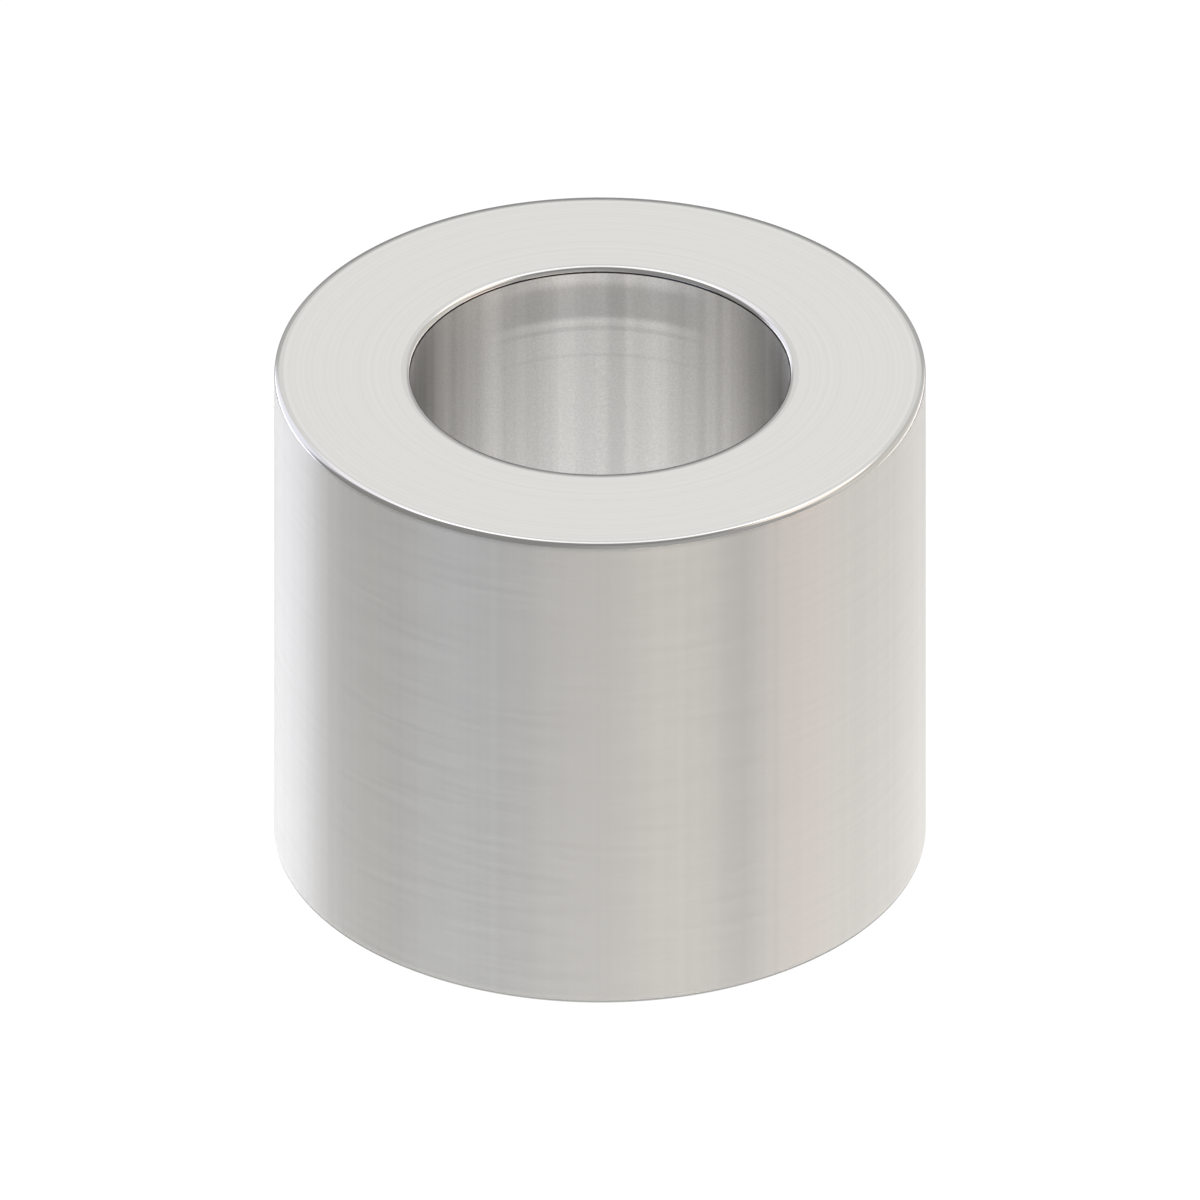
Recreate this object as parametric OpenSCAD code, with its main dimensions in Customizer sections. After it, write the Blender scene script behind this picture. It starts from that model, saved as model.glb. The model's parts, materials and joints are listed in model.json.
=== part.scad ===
// Spacer sleeve for an M10 screw, turned from stainless bar in one piece.
// It stands on one end face, with its axis along +Z and the origin at the
// centre of that face.

/* [Body] */
// Outside diameter of the sleeve
outer_d = 18; // [13:0.5:40]
// Length of the sleeve from end face to end face
length = 15; // [3:0.5:60]

/* [Bore] */
// Diameter of the through bore, a fine clearance hole for the screw
bore_d = 10.5; // [3:0.1:12]

/* [Edges] */
// Radius of the rounding on both outer edges
outer_edge_r = 0.1; // [0.05:0.05:0.6]
// Radius of the rounding on both edges of the bore
bore_edge_r = 0.1; // [0.05:0.05:0.6]

/* [Hidden] */
$fn = 128;

outer_r = outer_d / 2;
bore_r = bore_d / 2;
wall = outer_r - bore_r;
// Largest rounding that still leaves a flat between the two edges of a face
edge_limit = 0.45 * min(wall, length);
// How far the waste at an edge reaches past the blank
overcut = 1;

// Metal that comes off at a square corner to leave it rounded to radius r.
// The corner is at the origin, and the blank lies towards +X and +Y.
module edge_waste(r) {
    difference() {
        translate([-overcut, -overcut]) square(r + overcut);
        translate([r, r]) circle(r);
    }
}

// Half of the lengthwise section: X is the radius and Y the height.
module wall_section() {
    bore_round = min(bore_edge_r, edge_limit);
    outer_round = min(outer_edge_r, edge_limit);
    difference() {
        translate([bore_r, 0]) square([wall, length]);
        translate([bore_r, 0]) edge_waste(bore_round);
        translate([outer_r, 0]) rotate(90) edge_waste(outer_round);
        translate([outer_r, length]) rotate(180) edge_waste(outer_round);
        translate([bore_r, length]) rotate(270) edge_waste(bore_round);
    }
}

module sleeve() {
    color("gainsboro") rotate_extrude() wall_section();
}

sleeve();
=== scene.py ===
"""A spacer sleeve turned from stainless steel bar, standing on one end on a white table."""

import json
import math

import bpy
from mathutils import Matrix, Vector


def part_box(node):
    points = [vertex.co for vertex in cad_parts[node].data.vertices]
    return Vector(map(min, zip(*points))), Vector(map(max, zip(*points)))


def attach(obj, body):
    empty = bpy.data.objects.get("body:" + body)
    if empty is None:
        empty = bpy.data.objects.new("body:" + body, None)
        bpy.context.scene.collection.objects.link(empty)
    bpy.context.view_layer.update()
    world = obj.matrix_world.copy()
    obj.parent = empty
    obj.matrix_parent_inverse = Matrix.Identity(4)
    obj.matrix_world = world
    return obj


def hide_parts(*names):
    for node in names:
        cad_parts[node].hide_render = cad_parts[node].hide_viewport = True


MM = 0.001

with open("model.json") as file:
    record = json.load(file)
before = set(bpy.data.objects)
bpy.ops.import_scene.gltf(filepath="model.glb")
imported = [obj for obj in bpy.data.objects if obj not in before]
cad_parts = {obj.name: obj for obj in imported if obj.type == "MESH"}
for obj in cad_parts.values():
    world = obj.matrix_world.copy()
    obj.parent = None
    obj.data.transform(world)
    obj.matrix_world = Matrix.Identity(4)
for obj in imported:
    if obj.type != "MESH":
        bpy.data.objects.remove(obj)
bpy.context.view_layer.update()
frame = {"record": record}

# Sizes of the sleeve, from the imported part
low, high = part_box("sleeve")
mounts = {mount["name"]: mount for mount in frame["record"]["mounts"]}
OUTER_R = round((high.x - low.x) / 2, 5)
LENGTH = high.z - low.z
BORE_R = mounts["bore"]["dims"]["r_mm"] * MM
EDGE_R = (LENGTH - mounts["bore"]["dims"]["length_mm"] * MM) / 2
WALL = OUTER_R - BORE_R

# How far from the sharp corner the normals lean over at an edge: on both sides of an outer
# edge, and on the end face and the wall beside a bore edge
OUTER_SOFT = 0.25 * MM
BORE_SOFT = 0.2 * MM
WALL_SOFT = 0.14 * MM

# The depth where a thin dark line of painted shade starts on a bore edge. It runs down to WALL_SOFT.
LINE_START = 0.08 * MM

# Fineness of the mesh: steps round the axis, and along each rounded edge
ROUND_STEPS = 320
EDGE_STEPS = 8
WELD = 0.0005 * MM

# A face whose normal has a Z part above the first of these is on an end, and below the second
# one on the barrel or in the bore
FLAT_END = 0.9999
FLAT_WALL = 0.001

# The colour of the stainless steel: bare on the end faces and the barrel; on the edges, painted
# darker as shade; in the bore, painted brighter than real steel as light; and in the dark line,
# painted shade
END_STEEL = "#DCDBD7"
BARREL_STEEL = "#E6E5E1"
EDGE_STEEL_PAINTED_DARKER = "#D2D1CE"
BORE_STEEL_PAINTED_BRIGHT = "#FFFEFC"
LINE_PAINTED_SHADE = "#3C3C3D"

# The marks of the turning tool on the barrel, the rings that facing leaves on an end, and the
# grain of the bore. Real ones are finer, and wouldn't show at this size.
MARK_LENGTH = 3 * MM
MARK_SPACING = 0.2 * MM
RING_SPACING = 0.12 * MM
GRAIN_SIZE = 0.055 * MM

# Where the noise of the bore's lines starts. A scan of many starts gave this one, as one whose
# lines lie near those of the photo.
# These lines are partly grain of the bore and partly painted reflection.
BORE_LINES_START = 78.05

# Most values of a noise lie between these two
NOISE_SPAN = {"From Min": 0.3, "From Max": 0.7}

# The rear of the bore, the side that the camera sees, is toned down with painted shade to match
# the photo, and has a few painted arcs of reflection and shade round it. Both start at one
# distance behind the axis, and are full at another. The photo doesn't show whether the metal or
# the light is duller there.
PAINTED_SHADE_TONE = 0.77
PAINTED_SHADE_START = 0.5 * BORE_R
PAINTED_SHADE_FULL = 0.95 * BORE_R
PAINTED_ARCS_START = 0.78 * BORE_R
PAINTED_ARCS_FULL = 0.97 * BORE_R

# The painted arcs: depth, half width, and tone. The first one is a wide band of painted shade
# below the rim, the second a painted bright arc of reflection, and the others painted dark arcs.
BORE_PAINTED_ARCS = (
    (1.05 * MM, 0.75 * MM, 0.74),
    (1.66 * MM, 0.12 * MM, 1.08),
    (1.93 * MM, 0.1 * MM, 0.89),
    (2.8 * MM, 0.08 * MM, 0.94),
)

# The camera looks along +Y from above, in parallel projection
CAMERA_TILT = math.radians(32.5)
CAMERA_FAR = 200 * MM
NEAREST_SEEN = 1 * MM
FARTHEST_SEEN = 5000 * MM
VIEW_WIDTH = 33.15 * MM

# The table. This share of what is seen of it is plain white, at this level, and the rest of it
# is paint that shows the shadow.
TABLE_WIDTH = 2000 * MM
TABLE_PAINT = "#F0F0F0"
TABLE_WHITE = 0.9
TABLE_LEVEL = 1.08

# The table glows as a painted pool of light: white near the sleeve, and metal mirrors it darker
# from POOL_START outwards
POOL_START = 14 * MM
POOL_END = 115 * MM
POOL_EDGE = 0.4

# The table inside the bore is set this much brighter, to light the bore as in the photo
BORE_POOL = 1.5

# The table is set darker in a narrow band at the foot, for metal to mirror as a contact shadow:
# the width of the band, and the share of the brightness that is left
CONTACT_WIDTH = 0.07 * MM
CONTACT_SHADE = 0.5

# The room: its tone low on the walls and above, and the heights between which it changes, as
# the sine of the elevation
ROOM_LOW = "#8D8E90"
ROOM_TONE = "#A1A1A1"
ROOM_RISE = (0.03, 0.28)

# The soft lights on the walls of the room. Each one has the azimuth of its middle, its half
# width, the blur of its sides, its lowest and highest elevation, a level and a tint. Angles are
# in degrees. Azimuth 0 is behind the camera, and 90 is to the right. The places were set one by
# one. Most levels and tints began as a least-squares fit to the photo's shades. The levels were
# then changed one by one, and some of the tints are still the fit's own.
RISE_BLUR = 8
SOFT_LIGHTS = (
    # Low ones in front, mirrored down the barrel: cool on the left, warmer on the right
    (-45, 23, 8, -10, 12, 1.3, "#D8DEFF"),
    (10, 38, 11, -10, 12, 1.85, "#FFF4EC"),
    (25, 19, 13, -10, 12, 1.35, "#FFE8D0"),
    (67, 21, 12, -10, 12, 2.3, "#FFE4D9"),
    (70, 12, 8, -10, 12, 0.35, "#FFB070"),
    # A wide, faint one above them
    (45, 70, 40, 8, 62, 0.16, "#FFFFFF"),
    # On the right, low, in the middle and high
    (114, 40, 20, -10, 8, 2.8, "#FFF6F4"),
    (114, 40, 24, 4, 44, 0.5, "#FFF9F1"),
    (114, 42, 22, 40, 70, 1.15, "#FFF0E2"),
    # On the left, low, in the middle and high
    (-126, 26, 14, -10, 8, 4.5, "#F2F0FF"),
    (-131, 23, 14, 4, 44, 1.0, "#EDEFFF"),
    (-146, 36, 18, 38, 70, 1.05, "#F8F5FF"),
    # At the rear: the upper end face mirrors the high ones, and its edge the others
    (180, 42, 24, 14, 46, 0.65, "#FFFFFF"),
    (180, 60, 16, 54, 84, 1.0, "#FFFFFF"),
    (158, 34, 24, 38, 68, 0.8, "#F9F9FF"),
    (180, 72, 30, -10, 20, 0.3, "#FFFFFF"),
)


def linear(hex_colour):
    """Turns an sRGB colour such as "#DAD9D5" into linear red, green, blue and alpha."""
    channels = [int(hex_colour[i : i + 2], 16) / 255 for i in (1, 3, 5)]
    return [c / 12.92 if c <= 0.04045 else ((c + 0.055) / 1.055) ** 2.4 for c in channels] + [1.0]


def add_node(tree, kind, settings=None, inputs=None):
    """Adds a node. Each input is given a value, a socket, or a node for its first output."""
    node = tree.nodes.new(kind)
    for name, value in (settings or {}).items():
        setattr(node, name, value)
    for name, value in (inputs or {}).items():
        if isinstance(value, bpy.types.Node):
            value = value.outputs[0]
        if isinstance(value, bpy.types.NodeSocket):
            tree.links.new(value, node.inputs[name])
        else:
            node.inputs[name].default_value = value
    return node


def new_material(name):
    """An empty material and its node tree."""
    material = bpy.data.materials.new(name)
    material.use_nodes = True
    material.node_tree.nodes.clear()
    return material, material.node_tree


def finish_metal(tree, settings):
    """Bare metal with the given settings, as the surface of a material."""
    metal = add_node(tree, "ShaderNodeBsdfPrincipled", inputs={"Metallic": 1.0, **settings})
    add_node(tree, "ShaderNodeOutputMaterial", inputs={"Surface": metal})


def tool_marks(tree, length, spacing):
    """Noise drawn out round the axis, as a tool leaves it: each mark is length long."""
    place = add_node(tree, "ShaderNodeTexCoord").outputs["Object"]
    drawn_out = add_node(
        tree,
        "ShaderNodeMapping",
        {"vector_type": "POINT"},
        {"Vector": place, "Scale": (1 / length, 1 / length, 1 / spacing)},
    )
    return add_node(tree, "ShaderNodeTexNoise", inputs={"Vector": drawn_out, "Scale": 1.0, "Detail": 2.0})


def draw_lines(tree, width, start, detail=4.0):
    """Noise that only changes round the axis, as drawing leaves it: each line is width degrees wide."""
    place = add_node(tree, "ShaderNodeTexCoord").outputs["Object"]
    flat = add_node(tree, "ShaderNodeVectorMath", {"operation": "MULTIPLY"}, {0: place, 1: (1, 1, 0)})
    heading = add_node(tree, "ShaderNodeVectorMath", {"operation": "NORMALIZE"}, {0: flat})
    count = 1 / math.radians(width)
    spaced = add_node(
        tree,
        "ShaderNodeVectorMath",
        {"operation": "MULTIPLY_ADD"},
        {0: heading, 1: (count, count, 0), 2: (0, 0, start)},
    )
    return add_node(tree, "ShaderNodeTexNoise", inputs={"Vector": spaced, "Scale": 1.0, "Detail": detail})


def turned_steel():
    """Turned stainless steel: marks round the barrel smear each reflection along the axis."""
    material, tree = new_material("turned_stainless_steel")
    marks = tool_marks(tree, MARK_LENGTH, MARK_SPACING)
    lines = draw_lines(tree, 1.5, 5.0)
    tone = add_node(
        tree,
        "ShaderNodeMapRange",
        inputs={"Value": marks, **NOISE_SPAN, "To Min": 0.98, "To Max": 1.02},
    )
    drawn = add_node(
        tree,
        "ShaderNodeMapRange",
        inputs={"Value": lines, **NOISE_SPAN, "To Min": 0.98, "To Max": 1.02},
    )
    both = add_node(tree, "ShaderNodeMath", {"operation": "MULTIPLY"}, {0: tone, 1: drawn})
    colour = add_node(
        tree, "ShaderNodeVectorMath", {"operation": "SCALE"}, {0: linear(BARREL_STEEL)[:3], "Scale": both}
    )
    roughness = add_node(
        tree,
        "ShaderNodeMapRange",
        inputs={"Value": marks, **NOISE_SPAN, "To Min": 0.42, "To Max": 0.46},
    )
    tangent = add_node(tree, "ShaderNodeTangent", {"direction_type": "RADIAL", "axis": "Z"})
    finish_metal(
        tree,
        {
            "Base Color": colour,
            "Roughness": roughness,
            "Anisotropic": 1.0,
            "Anisotropic Rotation": 0.25,
            "Tangent": tangent,
        },
    )
    return material


def faced_steel():
    """Faced stainless steel: a flat end that mirrors softly, with the faintest of rings."""
    material, tree = new_material("faced_stainless_steel")
    place = add_node(tree, "ShaderNodeTexCoord").outputs["Object"]
    flat = add_node(tree, "ShaderNodeVectorMath", {"operation": "MULTIPLY"}, {0: place, 1: (1, 1, 0)})
    radius = add_node(tree, "ShaderNodeVectorMath", {"operation": "LENGTH"}, {0: flat}).outputs["Value"]
    rings = add_node(
        tree,
        "ShaderNodeTexNoise",
        {"noise_dimensions": "1D"},
        {"W": radius, "Scale": 1 / RING_SPACING, "Detail": 2.0},
    )
    tone = add_node(
        tree,
        "ShaderNodeMapRange",
        inputs={"Value": rings, **NOISE_SPAN, "To Min": 0.985, "To Max": 1.015},
    )
    colour = add_node(
        tree, "ShaderNodeVectorMath", {"operation": "SCALE"}, {0: linear(END_STEEL)[:3], "Scale": tone}
    )
    finish_metal(tree, {"Base Color": colour, "Roughness": 0.2})
    return material


def bore_painted_shade_and_arcs(tree):
    """Painted shade on the rear of the bore, and painted arcs of reflection and shade on it, which fade out
    to the sides.
    """
    place = add_node(tree, "ShaderNodeTexCoord").outputs["Object"]
    part = add_node(tree, "ShaderNodeSeparateXYZ", inputs={0: place})
    painted_arcs = add_node(
        tree,
        "ShaderNodeMapRange",
        {"interpolation_type": "SMOOTHSTEP"},
        {"Value": part.outputs["Y"], "From Min": PAINTED_ARCS_START, "From Max": PAINTED_ARCS_FULL},
    )
    # Painted shade: the rear of the bore, behind the axis, is darker
    painted_shade = add_node(
        tree,
        "ShaderNodeMapRange",
        {"interpolation_type": "SMOOTHSTEP"},
        {"Value": part.outputs["Y"], "From Min": PAINTED_SHADE_START, "From Max": PAINTED_SHADE_FULL},
    )
    tone = add_node(
        tree, "ShaderNodeMath", {"operation": "MULTIPLY_ADD"}, {0: painted_shade, 1: PAINTED_SHADE_TONE - 1, 2: 1.0}
    )
    # A band of painted shade and thin painted arcs of reflection across the rear of the bore
    for depth, half_width, level in BORE_PAINTED_ARCS:
        gap = add_node(
            tree, "ShaderNodeMath", {"operation": "SUBTRACT"}, {0: part.outputs["Z"], 1: LENGTH - depth}
        )
        away = add_node(tree, "ShaderNodeMath", {"operation": "ABSOLUTE"}, {0: gap})
        share = add_node(
            tree,
            "ShaderNodeMapRange",
            {"interpolation_type": "SMOOTHSTEP"},
            {"Value": away, "From Min": half_width, "From Max": half_width / 2, "To Max": painted_arcs},
        )
        change = add_node(
            tree, "ShaderNodeMath", {"operation": "MULTIPLY_ADD"}, {0: share, 1: level - 1, 2: 1.0}
        )
        tone = add_node(tree, "ShaderNodeMath", {"operation": "MULTIPLY"}, {0: tone, 1: change})
    return tone


def bored_steel():
    """Reamed stainless steel: soft lines along the bore, partly painted reflection; painted shade on
    its rear, with painted arcs of reflection and shade; a fine grain; and a colour brighter than
    real steel, painted light to match the photo."""
    material, tree = new_material("reamed_stainless_steel")
    # Lines along the bore: partly drawn lines, partly painted reflection
    lines = draw_lines(tree, 7, BORE_LINES_START, 2.0)
    drawn = add_node(
        tree,
        "ShaderNodeMapRange",
        inputs={"Value": lines, "From Min": 0.38, "From Max": 0.62, "To Min": 0.83, "To Max": 1.0},
    )
    spots = tool_marks(tree, GRAIN_SIZE, GRAIN_SIZE)
    grain = add_node(
        tree,
        "ShaderNodeMapRange",
        inputs={"Value": spots, **NOISE_SPAN, "To Min": 0.93, "To Max": 1.07},
    )
    # Painted shade and painted arcs on the rear of the bore
    tone = bore_painted_shade_and_arcs(tree)
    for change in (drawn, grain):
        tone = add_node(tree, "ShaderNodeMath", {"operation": "MULTIPLY"}, {0: tone, 1: change})
    # The bore's colour, painted brighter than real steel as light
    colour = add_node(
        tree, "ShaderNodeVectorMath", {"operation": "SCALE"}, {0: linear(BORE_STEEL_PAINTED_BRIGHT)[:3], "Scale": tone}
    )
    tangent = add_node(tree, "ShaderNodeTangent", {"direction_type": "RADIAL", "axis": "Z"})
    finish_metal(
        tree,
        {
            "Base Color": colour,
            "Roughness": 0.36,
            "Anisotropic": 0.85,
            "Anisotropic Rotation": 0.25,
            "Tangent": tangent,
        },
    )
    return material


def edge_steel():
    """Edge of the steel, rounded and burnished: thin bright and dark lines, a little uneven, on a colour
    painted darker than the rest of the steel as shade.
    """
    material, tree = new_material("burnished_steel_edge")
    lines = draw_lines(tree, 3, 9.0)
    roughness = add_node(
        tree,
        "ShaderNodeMapRange",
        inputs={"Value": lines, **NOISE_SPAN, "To Min": 0.1, "To Max": 0.14},
    )
    # The edge's colour is painted darker than the rest of the steel, as shade
    finish_metal(tree, {"Base Color": linear(EDGE_STEEL_PAINTED_DARKER), "Roughness": roughness})
    return material


def painted_line_steel():
    """Painted shade in a narrow ring: the thin dark line just inside the bore edge in the photo."""
    material, tree = new_material("painted_shade_line")
    lines = draw_lines(tree, 3, 2.0)
    tone = add_node(
        tree,
        "ShaderNodeMapRange",
        inputs={"Value": lines, **NOISE_SPAN, "To Min": 0.8, "To Max": 1.2},
    )
    colour = add_node(
        tree, "ShaderNodeVectorMath", {"operation": "SCALE"}, {0: linear(LINE_PAINTED_SHADE)[:3], "Scale": tone}
    )
    finish_metal(tree, {"Base Color": colour, "Roughness": 0.3})
    return material


def kind_of(face):
    """Names the surface of the sleeve that a face belongs to."""
    upright = abs(face.normal.z)
    if upright > FLAT_END:
        return "end"
    if upright > FLAT_WALL:
        return "edge"
    return "barrel" if math.hypot(face.center.x, face.center.y) > BORE_R + WALL / 2 else "bore"


def cut_band(sleeve, kind, width):
    """Cuts a narrow band into one kind of surface, along all its borders."""
    bpy.ops.object.mode_set(mode="EDIT")
    bpy.ops.mesh.select_mode(type="FACE")
    bpy.ops.mesh.select_all(action="DESELECT")
    bpy.ops.object.mode_set(mode="OBJECT")
    for face in sleeve.data.polygons:
        face.select = kind_of(face) == kind
    bpy.ops.object.mode_set(mode="EDIT")
    bpy.ops.mesh.inset(thickness=width)
    bpy.ops.object.mode_set(mode="OBJECT")


def turn_sleeve():
    """Turns the sleeve as on a lathe: a section with rounded corners is spun about +Z."""
    bpy.ops.object.select_all(action="DESELECT")
    bpy.ops.mesh.primitive_plane_add(
        size=1,
        location=(BORE_R + WALL / 2, 0, LENGTH / 2),
        rotation=(math.pi / 2, 0, 0),
    )
    sleeve = bpy.context.object
    sleeve.name = "turned_sleeve"
    sleeve.scale = (WALL, LENGTH, 1)
    bpy.ops.object.transform_apply(location=True, rotation=True, scale=True)
    bpy.ops.object.mode_set(mode="EDIT")
    bpy.ops.mesh.select_all(action="SELECT")
    bpy.ops.mesh.bevel(offset=EDGE_R, segments=EDGE_STEPS, affect="VERTICES")
    bpy.ops.mesh.select_all(action="SELECT")
    bpy.ops.mesh.delete(type="ONLY_FACE")
    bpy.ops.mesh.select_all(action="SELECT")
    bpy.ops.mesh.spin(steps=ROUND_STEPS, angle=2 * math.pi, center=(0, 0, 0), axis=(0, 0, 1))
    bpy.ops.mesh.select_all(action="SELECT")
    bpy.ops.mesh.remove_doubles(threshold=WELD)
    bpy.ops.mesh.normals_make_consistent(inside=False)
    bpy.ops.object.mode_set(mode="OBJECT")
    cut_band(sleeve, "end", OUTER_SOFT - EDGE_R)
    cut_band(sleeve, "barrel", OUTER_SOFT - EDGE_R)
    cut_band(sleeve, "bore", WALL_SOFT - EDGE_R)
    return sleeve


def soften_edges(sleeve):
    """Leans the normals over near the edges, so that the light rolls round each of them."""
    normals = []
    for vertex in sleeve.data.vertices:
        x, y, z = vertex.co
        radius = math.hypot(x, y)
        outside = radius > BORE_R + WALL / 2
        from_wall = OUTER_R - radius if outside else radius - BORE_R
        from_end = min(z, LENGTH - z)
        if outside:
            soft = OUTER_SOFT
        else:
            soft = WALL_SOFT if from_end > from_wall else BORE_SOFT
        lean = math.radians(45 + 45 * max(-1, min(1, (from_end - from_wall) / soft)))
        outward = math.sin(lean) / radius * (1 if outside else -1)
        upward = math.cos(lean) * (1 if z > LENGTH / 2 else -1)
        normals.append((x * outward, y * outward, upward))
    sleeve.data.shade_smooth()
    sleeve.data.normals_split_custom_set_from_vertices(normals)


def finish_surfaces(sleeve):
    """Gives the barrel, the ends, the bore and the edges their own finish."""
    finishes = {
        "barrel": turned_steel(),
        "end": faced_steel(),
        "bore": bored_steel(),
        "edge": edge_steel(),
        "line": painted_line_steel(),
    }
    for material in finishes.values():
        sleeve.data.materials.append(material)
    order = list(finishes)
    for face in sleeve.data.polygons:
        kind = kind_of(face)
        radius = math.hypot(face.center.x, face.center.y)
        from_end = min(face.center.z, LENGTH - face.center.z)
        # The band cut into an end face is OUTER_SOFT wide at both of its borders
        if kind == "end" and not BORE_R + OUTER_SOFT < radius < OUTER_R - OUTER_SOFT:
            kind = "edge"
        # The thin line of painted shade just inside each bore edge
        if radius < BORE_R + EDGE_R and LINE_START < from_end < WALL_SOFT:
            kind = "line"
        face.material_index = order.index(kind)


def white_table():
    """A wide white table, which keeps a faint shadow of the sleeve."""
    bpy.ops.object.select_all(action="DESELECT")
    bpy.ops.mesh.primitive_plane_add(size=TABLE_WIDTH, location=(0, 0, 0))
    table = bpy.context.object
    table.name = "table"
    material, tree = new_material("white_table")
    path = add_node(tree, "ShaderNodeLightPath")
    seen = path.outputs["Is Camera Ray"]
    for other in ("Is Glossy Ray", "Is Transmission Ray"):
        seen = add_node(tree, "ShaderNodeMath", {"operation": "MAXIMUM"}, {0: seen, 1: path.outputs[other]})
    share = add_node(tree, "ShaderNodeMath", {"operation": "MULTIPLY"}, {0: seen, 1: TABLE_WHITE})
    place = add_node(tree, "ShaderNodeTexCoord").outputs["Object"]
    away = add_node(tree, "ShaderNodeVectorMath", {"operation": "LENGTH"}, {0: place}).outputs["Value"]
    pool = add_node(
        tree,
        "ShaderNodeMapRange",
        inputs={
            "Value": away,
            "From Min": POOL_START,
            "From Max": POOL_END,
            "To Min": TABLE_LEVEL,
            "To Max": TABLE_LEVEL * POOL_EDGE,
        },
    )
    beside = add_node(tree, "ShaderNodeMath", {"operation": "SUBTRACT"}, {0: away, 1: OUTER_R})
    beside = add_node(tree, "ShaderNodeMath", {"operation": "ABSOLUTE"}, {0: beside})
    contact = add_node(
        tree,
        "ShaderNodeMapRange",
        inputs={"Value": beside, "From Max": CONTACT_WIDTH, "To Min": CONTACT_SHADE, "To Max": 1.0},
    )
    within = add_node(
        tree,
        "ShaderNodeMapRange",
        inputs={
            "Value": away,
            "From Min": OUTER_R,
            "From Max": BORE_R,
            "To Min": 1.0,
            "To Max": BORE_POOL,
        },
    )
    mirrored = pool
    for change in (contact, within):
        mirrored = add_node(tree, "ShaderNodeMath", {"operation": "MULTIPLY"}, {0: mirrored, 1: change})
    in_view = add_node(
        tree,
        "ShaderNodeMath",
        {"operation": "MULTIPLY"},
        {0: path.outputs["Is Camera Ray"], 1: TABLE_LEVEL},
    )
    strength = add_node(tree, "ShaderNodeMath", {"operation": "MAXIMUM"}, {0: mirrored, 1: in_view})
    paint = add_node(tree, "ShaderNodeBsdfDiffuse", inputs={"Color": linear(TABLE_PAINT)})
    white = add_node(tree, "ShaderNodeEmission", inputs={"Color": (1, 1, 1, 1), "Strength": strength})
    mix = add_node(tree, "ShaderNodeMixShader", inputs={0: share, 1: paint, 2: white})
    add_node(tree, "ShaderNodeOutputMaterial", inputs={"Surface": mix})
    table.data.materials.append(material)


def soft_light(tree, heading, rise, azimuth, half_width, blur, lowest, highest):
    """How much of a soft light is seen in each direction, from 0 to 1."""
    smooth = {"interpolation_type": "SMOOTHSTEP"}
    turn = math.radians(azimuth)
    toward = add_node(
        tree,
        "ShaderNodeVectorMath",
        {"operation": "DOT_PRODUCT"},
        {0: heading, 1: (math.sin(turn), -math.cos(turn), 0.0)},
    ).outputs["Value"]
    glow = add_node(
        tree,
        "ShaderNodeMapRange",
        smooth,
        {
            "Value": toward,
            "From Min": math.cos(math.radians(half_width)),
            "From Max": math.cos(math.radians(half_width - blur)),
        },
    )
    for border, inner in ((lowest, lowest + RISE_BLUR), (highest, highest - RISE_BLUR)):
        step = add_node(
            tree,
            "ShaderNodeMapRange",
            smooth,
            {
                "Value": rise,
                "From Min": math.sin(math.radians(border)),
                "From Max": math.sin(math.radians(inner)),
            },
        )
        glow = add_node(tree, "ShaderNodeMath", {"operation": "MULTIPLY"}, {0: glow, 1: step})
    return glow


def studio():
    """Soft studio light: a grey room with soft lights on its walls, fitted to the photo's view."""
    world = bpy.data.worlds.new("studio")
    world.use_nodes = True
    tree = world.node_tree
    tree.nodes.clear()
    direction = add_node(tree, "ShaderNodeTexCoord").outputs["Generated"]
    rise = add_node(tree, "ShaderNodeSeparateXYZ", inputs={0: direction}).outputs["Z"]
    flat = add_node(tree, "ShaderNodeVectorMath", {"operation": "MULTIPLY"}, {0: direction, 1: (1, 1, 0)})
    heading = add_node(tree, "ShaderNodeVectorMath", {"operation": "NORMALIZE"}, {0: flat})
    height = add_node(
        tree,
        "ShaderNodeMapRange",
        {"interpolation_type": "SMOOTHSTEP"},
        {"Value": rise, "From Min": ROOM_RISE[0], "From Max": ROOM_RISE[1]},
    )
    room = add_node(
        tree, "ShaderNodeMix", {"data_type": "RGBA"}, {0: height, 6: linear(ROOM_LOW), 7: linear(ROOM_TONE)}
    )
    colour = room.outputs[2]
    for azimuth, half_width, blur, lowest, highest, level, tint in SOFT_LIGHTS:
        glow = soft_light(tree, heading, rise, azimuth, half_width, blur, lowest, highest)
        power = add_node(tree, "ShaderNodeMath", {"operation": "MULTIPLY"}, {0: glow, 1: level})
        lit = add_node(
            tree,
            "ShaderNodeMix",
            {"data_type": "RGBA", "blend_type": "ADD", "clamp_factor": False},
            {0: power, 6: colour, 7: linear(tint)},
        )
        colour = lit.outputs[2]
    light = add_node(tree, "ShaderNodeBackground", inputs={"Color": colour, "Strength": 1.0})
    add_node(tree, "ShaderNodeOutputWorld", inputs={"Surface": light})
    bpy.context.scene.world = world


def parallel_camera():
    """The camera, in parallel projection, above the front of the sleeve."""
    data = bpy.data.cameras.new("camera")
    data.type = "ORTHO"
    data.ortho_scale = VIEW_WIDTH
    data.clip_start = NEAREST_SEEN
    data.clip_end = FARTHEST_SEEN
    camera = bpy.data.objects.new("camera", data)
    back = Vector((0, -math.cos(CAMERA_TILT), math.sin(CAMERA_TILT)))
    camera.location = Vector((0, 0, LENGTH / 2)) + back * CAMERA_FAR
    camera.rotation_euler = (math.pi / 2 - CAMERA_TILT, 0, 0)
    bpy.context.scene.collection.objects.link(camera)
    bpy.context.scene.camera = camera


def main():
    bpy.context.scene.view_settings.view_transform = "Standard"
    sleeve = turn_sleeve()
    finish_surfaces(sleeve)
    soften_edges(sleeve)
    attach(sleeve, "root")
    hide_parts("sleeve")
    white_table()
    studio()
    parallel_camera()


main()
bpy.context.view_layer.update()
